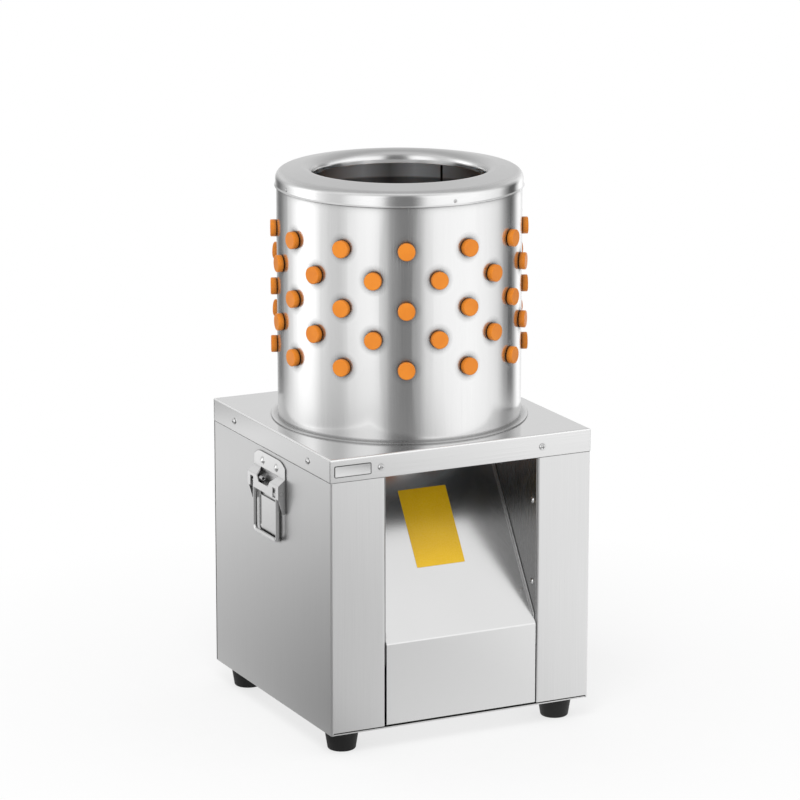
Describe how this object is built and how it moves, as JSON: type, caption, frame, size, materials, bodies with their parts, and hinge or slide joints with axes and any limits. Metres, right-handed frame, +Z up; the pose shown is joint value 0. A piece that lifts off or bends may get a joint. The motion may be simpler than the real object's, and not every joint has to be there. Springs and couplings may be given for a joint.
{
  "type": "drum poultry plucker",
  "caption": "Folded steel cabinet on rubber feet with a finger-lined upright drum, a belt-driven finger plate, a sloped discharge chute and drop handles for plucking poultry.",
  "frame": {"origin": "on the floor under the middle of the cabinet", "axes": "+Z up along the drum's axis, -Y towards the chute at the front, +X to the right seen from the front"},
  "size_m": [0.371, 0.3488, 0.6818],
  "materials": {
    "panel_steel": "fine brushed sheet",
    "cap_steel": "polished sheet",
    "pan_steel": "plain mill finish",
    "chute_steel": "bright rolled sheet",
    "drum_steel": "polished, with a fine upright grain",
    "finger_rubber": "soft natural rubber, orange",
    "fastener_steel": "bright zinc plated",
    "plate_steel": "turned face",
    "machined_steel": "machined",
    "bearing_iron": "painted casting",
    "drive_paint": "satin grey paint",
    "pulley_iron": "turned casting",
    "belt_rubber": "matt black",
    "motor_paint": "satin grey paint",
    "capacitor_shell": "drawn can",
    "switch_plastic": "fine-grained black",
    "start_green": "moulded green",
    "stop_red": "moulded red",
    "bush_rubber": "matt black",
    "foot_rubber": "matt black",
    "handle_steel": "pressed and tumbled"
  },
  "bodies": {
    "cabinet": {"left_panel": "panel_steel", "right_panel": "panel_steel", "back_panel": "panel_steel", "bottom_pan": "pan_steel", "top_cap": "cap_steel", "cap_screws": "fastener_steel", "back_screws": "fastener_steel", "chute_slope": "chute_steel", "chute_cheek_left": "chute_steel", "chute_cheek_right": "chute_steel", "chute_screws": "fastener_steel", "drum": "drum_steel", "finger_row_1": "finger_rubber", "finger_row_2": "finger_rubber", "finger_row_3": "finger_rubber", "finger_row_4": "finger_rubber", "finger_row_5": "finger_rubber", "rim": "drum_steel", "rim_screws": "fastener_steel", "upper_bearing_housing": "bearing_iron", "upper_bearing": "machined_steel", "lower_bearing_housing": "bearing_iron", "lower_bearing": "machined_steel", "bearing_bolts": "fastener_steel", "drive_plate": "drive_paint", "v_belt": "belt_rubber", "motor_housing": "motor_paint", "motor_shield": "motor_paint", "motor_fan_cover": "motor_paint", "motor_bolts": "fastener_steel", "capacitor": "capacitor_shell", "switch_plate": "switch_plastic", "switch_body": "switch_plastic", "cable_grommet": "bush_rubber", "foot_front_left": "foot_rubber", "foot_front_right": "foot_rubber", "foot_back_left": "foot_rubber", "foot_back_right": "foot_rubber", "foot_bolts": "fastener_steel", "handle_bracket_left": "handle_steel", "handle_bracket_right": "handle_steel", "handle_stop_left": "handle_steel", "handle_stop_right": "handle_steel", "handle_rivets": "fastener_steel"},
    "rotor": {"rotor_plate": "plate_steel", "plate_fingers_inner": "finger_rubber", "plate_fingers_outer": "finger_rubber", "hub": "machined_steel", "hub_bolts": "fastener_steel", "drive_shaft": "machined_steel", "shaft_cap": "fastener_steel", "shaft_keys": "machined_steel", "driven_pulley": "pulley_iron"},
    "motor_rotor": {"motor_shaft": "machined_steel", "motor_pulley": "pulley_iron"},
    "start_button": {"start_button": "start_green"},
    "stop_button": {"stop_button": "stop_red"},
    "bail_left": {"bail_left": "handle_steel"},
    "bail_right": {"bail_right": "handle_steel"}
  },
  "joints": [
    {"name": "plate_spin", "type": "hinge", "parent": "cabinet", "child": "rotor", "pos_m": [0, 0, 0.384], "axis": [0, 0, 1], "continuous": true},
    {"name": "motor_spin", "type": "hinge", "parent": "cabinet", "child": "motor_rotor", "pos_m": [-0.082, 0.092, 0.13], "axis": [0, 0, 1], "continuous": true},
    {"name": "start_press", "type": "slide", "parent": "cabinet", "child": "start_button", "axis": [-1, 0, 0], "range_m": [0, 0.003], "stiffness_N_per_m": 300},
    {"name": "stop_press", "type": "slide", "parent": "cabinet", "child": "stop_button", "axis": [-1, 0, 0], "range_m": [0, 0.003], "stiffness_N_per_m": 300},
    {"name": "bail_left_swing", "type": "hinge", "parent": "cabinet", "child": "bail_left", "pos_m": [-0.1813, 0, 0.299], "axis": [0, 1, 0], "range_deg": [0, 120]},
    {"name": "bail_right_swing", "type": "hinge", "parent": "cabinet", "child": "bail_right", "pos_m": [0.1813, 0, 0.299], "axis": [0, -1, 0], "range_deg": [0, 120]}
  ],
  "couplings": [
    {"joint": "motor_spin", "follows": "plate_spin", "ratio": 3}
  ]
}
